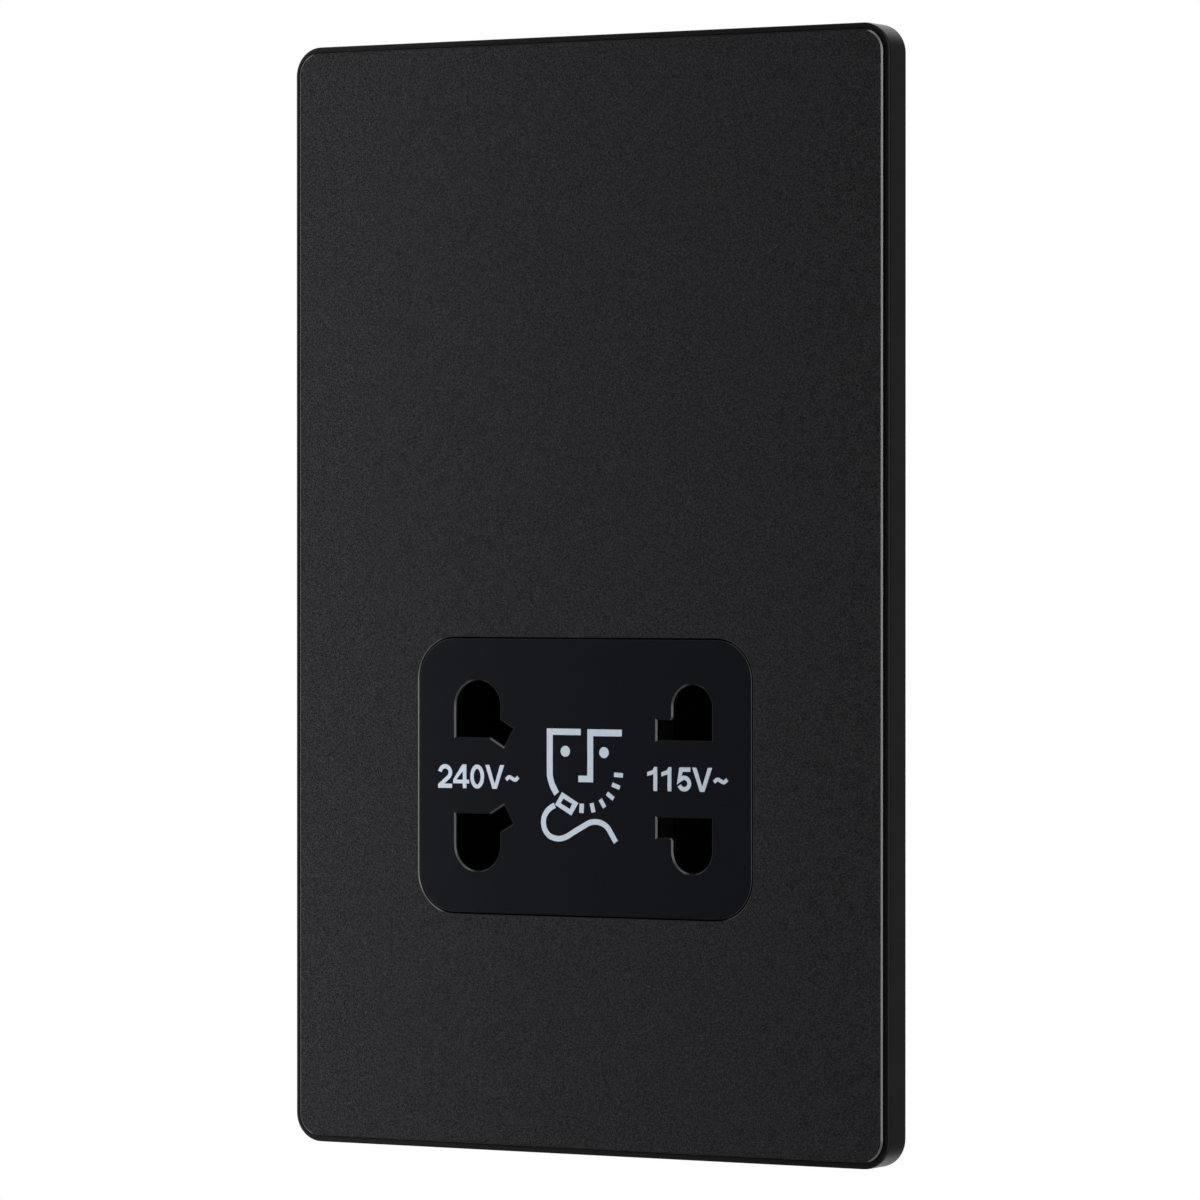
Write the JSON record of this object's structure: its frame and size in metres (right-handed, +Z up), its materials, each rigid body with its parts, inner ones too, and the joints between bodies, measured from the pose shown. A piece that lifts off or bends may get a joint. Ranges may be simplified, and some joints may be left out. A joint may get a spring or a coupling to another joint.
{
  "type": "shaver socket",
  "caption": "Upright screwless two-voltage shaver supply unit with a smooth socket face, shuttered pin openings and an isolating transformer behind.",
  "frame": {"origin": "on the wall's surface, midway between the two fixing holes of the yoke", "axes": "+X to the right seen from the front, +Y into the wall, +Z up; the face looks towards -Y"},
  "size_m": [0.095, 0.0462, 0.155],
  "materials": {
    "frame_plastic": "matt",
    "textured_panel": "fine textured matt",
    "face_plastic": "satin",
    "zinc_steel": "zinc plated",
    "brass_strip": "satin",
    "rivet_metal": "satin",
    "case_plastic": "matt",
    "housing_plastic": "matt",
    "terminal_brass": "satin",
    "screw_steel": "zinc plated",
    "shutter_plastic": "matt",
    "spring_steel": "bright",
    "carrier_plastic": "matt",
    "switch_plastic": "matt",
    "plunger_plastic": "satin",
    "contact_brass": "bright",
    "lamination_steel": "varnished",
    "bobbin_plastic": "matt",
    "winding_tape": "satin",
    "cutout_metal": "satin",
    "brown_insulation": "satin",
    "blue_insulation": "satin",
    "black_insulation": "satin",
    "red_insulation": "satin",
    "yellow_insulation": "satin"
  },
  "bodies": {
    "unit": {"front_frame": "frame_plastic", "face_panel": "textured_panel", "socket_moulding": "face_plastic", "mounting_yoke": "zinc_steel", "earth_link": "brass_strip", "earth_rivet": "rivet_metal", "rear_case": "case_plastic", "terminal_housing": "housing_plastic", "terminal_live": "terminal_brass", "terminal_neutral": "terminal_brass", "terminal_earth": "terminal_brass", "spring_240": "spring_steel", "spring_115": "spring_steel", "contact_carrier": "carrier_plastic", "switch_240": "switch_plastic", "switch_115": "switch_plastic", "common_contact": "contact_brass", "contact_240": "contact_brass", "contact_115": "contact_brass", "core_stack": "lamination_steel", "bobbin": "bobbin_plastic", "mains_winding": "winding_tape", "shaver_winding": "winding_tape", "thermal_cutout": "cutout_metal", "lead_live": "brown_insulation", "lead_neutral": "blue_insulation", "lead_common": "black_insulation", "lead_240": "red_insulation", "lead_115": "yellow_insulation", "yoke_screws": "screw_steel", "case_screws": "screw_steel", "core_screws": "screw_steel"},
    "shutter_240": {"shutter_240": "shutter_plastic"},
    "shutter_115": {"shutter_115": "shutter_plastic"},
    "plunger_240": {"plunger_240": "plunger_plastic"},
    "plunger_115": {"plunger_115": "plunger_plastic"},
    "clamp_screw_live": {"clamp_screw_live": "screw_steel"},
    "clamp_screw_neutral": {"clamp_screw_neutral": "screw_steel"},
    "clamp_screw_earth": {"clamp_screw_earth": "screw_steel"}
  },
  "joints": [
    {"name": "shutter_240_slide", "type": "slide", "parent": "unit", "child": "shutter_240", "axis": [1, 0, 0], "range_m": [0, 0.0102], "stiffness_N_per_m": 60, "springref_m": -0.003, "deforming": ["spring_240"]},
    {"name": "plunger_240_slide", "type": "slide", "parent": "unit", "child": "plunger_240", "axis": [0, 1, 0], "range_m": [0, 0.0015]},
    {"name": "shutter_115_slide", "type": "slide", "parent": "unit", "child": "shutter_115", "axis": [-1, 0, 0], "range_m": [0, 0.0102], "stiffness_N_per_m": 60, "springref_m": -0.003, "deforming": ["spring_115"]},
    {"name": "plunger_115_slide", "type": "slide", "parent": "unit", "child": "plunger_115", "axis": [0, 1, 0], "range_m": [0, 0.0015]},
    {"name": "clamp_live_screw", "type": "slide", "parent": "unit", "child": "clamp_screw_live", "axis": [0, -1, 0], "range_m": [0, 0.0034]},
    {"name": "clamp_neutral_screw", "type": "slide", "parent": "unit", "child": "clamp_screw_neutral", "axis": [0, -1, 0], "range_m": [0, 0.0034]},
    {"name": "clamp_earth_screw", "type": "slide", "parent": "unit", "child": "clamp_screw_earth", "axis": [0, -1, 0], "range_m": [0, 0.0034]}
  ],
  "couplings": [
    {"joint": "plunger_240_slide", "follows": "shutter_240_slide", "ratio": 0.147},
    {"joint": "plunger_115_slide", "follows": "shutter_115_slide", "ratio": 0.147}
  ]
}
